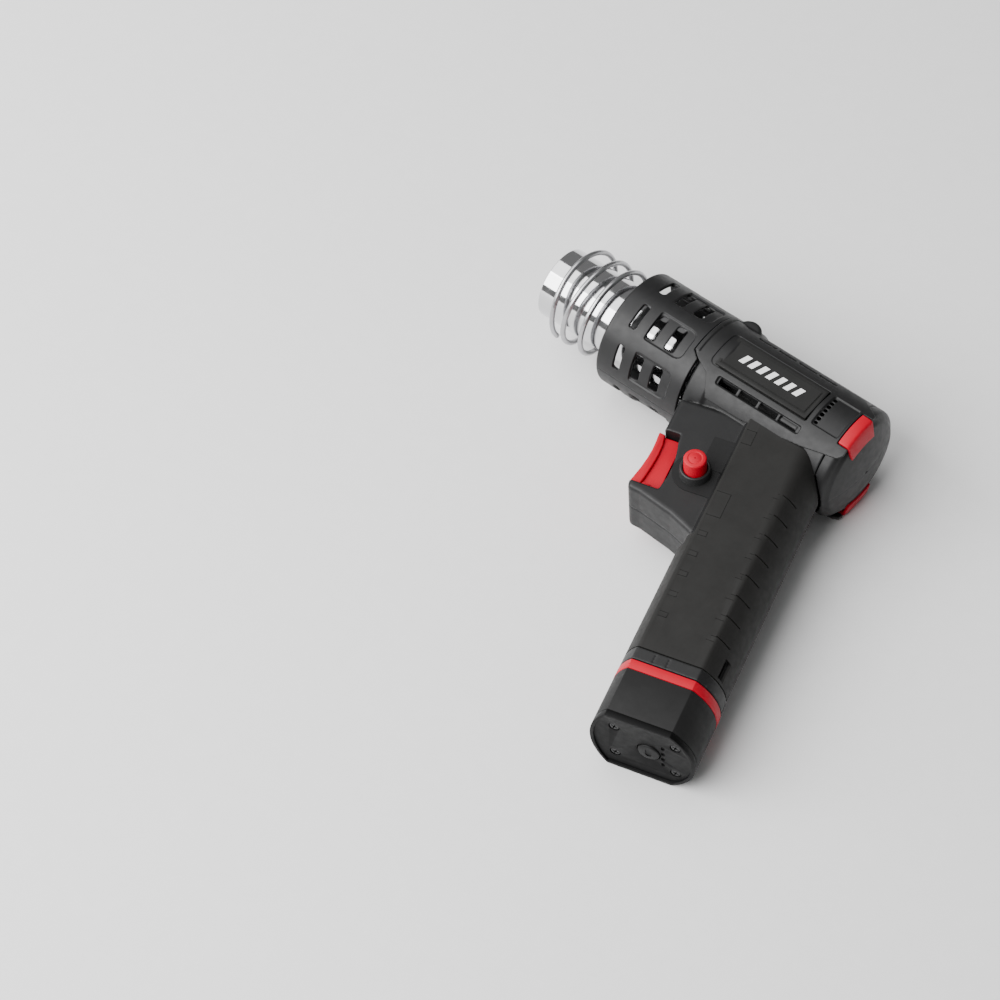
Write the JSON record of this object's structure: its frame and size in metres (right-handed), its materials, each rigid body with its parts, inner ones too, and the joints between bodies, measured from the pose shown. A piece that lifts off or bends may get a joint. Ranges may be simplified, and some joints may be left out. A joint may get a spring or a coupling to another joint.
{
  "type": "heat gun",
  "caption": "Cordless pistol-grip heat gun with a chrome nozzle tube, wire guard, slotted cowl, red trigger and slide-in battery pack.",
  "frame": {"origin": "under the middle of the bounding box, on the surface the gun lies on", "axes": "the gun lies on its right side: +X towards the rear of the barrel, +Y towards the top of the gun, +Z out of its left side"},
  "size_m": [0.209, 0.2091, 0.058],
  "materials": {
    "housing_plastic": "charcoal black moulded plastic with a fine matt texture",
    "cowl_plastic": "heat resistant charcoal plastic, fine matt texture",
    "grip_rubber": "soft dark grey rubber",
    "dark_plastic": "near-black matt plastic",
    "red_plastic": "satin red plastic",
    "chrome_tube": "bright chrome plate",
    "steel_wire": "satin steel wire",
    "steel": "plain steel",
    "mica": "layered mica sheet",
    "ceramic": "unglazed ceramic",
    "circuit_board": "green glass-fibre board",
    "cell_wrap": "shrink-wrapped battery cell"
  },
  "bodies": {
    "housing": {"left_shell": "housing_plastic", "right_shell": "housing_plastic", "left_button_collar": "housing_plastic", "right_button_collar": "housing_plastic", "left_grip_cover": "grip_rubber", "right_grip_cover": "grip_rubber", "left_side_cover": "housing_plastic", "right_side_cover": "housing_plastic", "left_label_plate": "dark_plastic", "right_label_plate": "dark_plastic", "left_red_tab": "red_plastic", "right_red_tab": "red_plastic", "rear_cap": "dark_plastic", "left_cowl": "cowl_plastic", "right_cowl": "cowl_plastic", "nozzle_tube": "chrome_tube", "mica_sleeve": "mica", "guard_coil": "steel_wire", "heater_former": "ceramic", "heater_coil": "steel", "motor_can": "steel", "fan_duct": "dark_plastic", "thermal_fuse": "ceramic", "control_board": "circuit_board", "micro_switch": "dark_plastic", "trigger_spring": "steel", "contact_socket": "dark_plastic", "grip_screw_1": "steel", "grip_screw_2": "steel", "barrel_screw_1": "steel", "barrel_screw_2": "steel"},
    "trigger": {"trigger": "red_plastic", "switch_plunger": "dark_plastic"},
    "lock_button": {"lock_button": "red_plastic"},
    "fan": {"fan_impeller": "dark_plastic", "motor_shaft": "steel"},
    "battery": {"battery_case": "housing_plastic", "battery_band": "red_plastic", "battery_end_cap": "dark_plastic", "battery_screw_1": "steel", "battery_screw_2": "steel", "battery_screw_3": "steel", "battery_screw_4": "steel", "battery_cell_1": "cell_wrap", "battery_cell_2": "cell_wrap", "battery_cell_3": "cell_wrap", "battery_contact_head": "dark_plastic"},
    "left_latch": {"left_latch": "dark_plastic"},
    "right_latch": {"right_latch": "dark_plastic"},
    "gauge_button": {"gauge_button": "dark_plastic"}
  },
  "joints": [
    {"name": "trigger_pull", "type": "slide", "parent": "housing", "child": "trigger", "axis": [0.9613, 0.2756, 0], "range_m": [0, 0.0045], "stiffness_N_per_m": 500, "springref_m": -0.003, "deforming": ["trigger_spring"]},
    {"name": "lock_bolt_push", "type": "slide", "parent": "housing", "child": "lock_button", "axis": [0, 0, -1], "range_m": [0, 0.0055]},
    {"name": "fan_spin", "type": "hinge", "parent": "housing", "child": "fan", "pos_m": [0.04503, 0.07406, 0.029], "axis": [1, 0, 0], "continuous": true},
    {"name": "battery_pull", "type": "slide", "parent": "housing", "child": "battery", "axis": [0.2756, -0.9613, 0], "range_m": [0, 0.125]},
    {"name": "left_latch_press", "type": "slide", "parent": "battery", "child": "left_latch", "axis": [0, 0, -1], "range_m": [0, 0.0015], "stiffness_N_per_m": 800},
    {"name": "right_latch_press", "type": "slide", "parent": "battery", "child": "right_latch", "axis": [0, 0, 1], "range_m": [0, 0.0015], "stiffness_N_per_m": 800},
    {"name": "gauge_press", "type": "slide", "parent": "battery", "child": "gauge_button", "axis": [-0.2756, 0.9613, 0], "range_m": [0, 0.0008], "stiffness_N_per_m": 500}
  ]
}
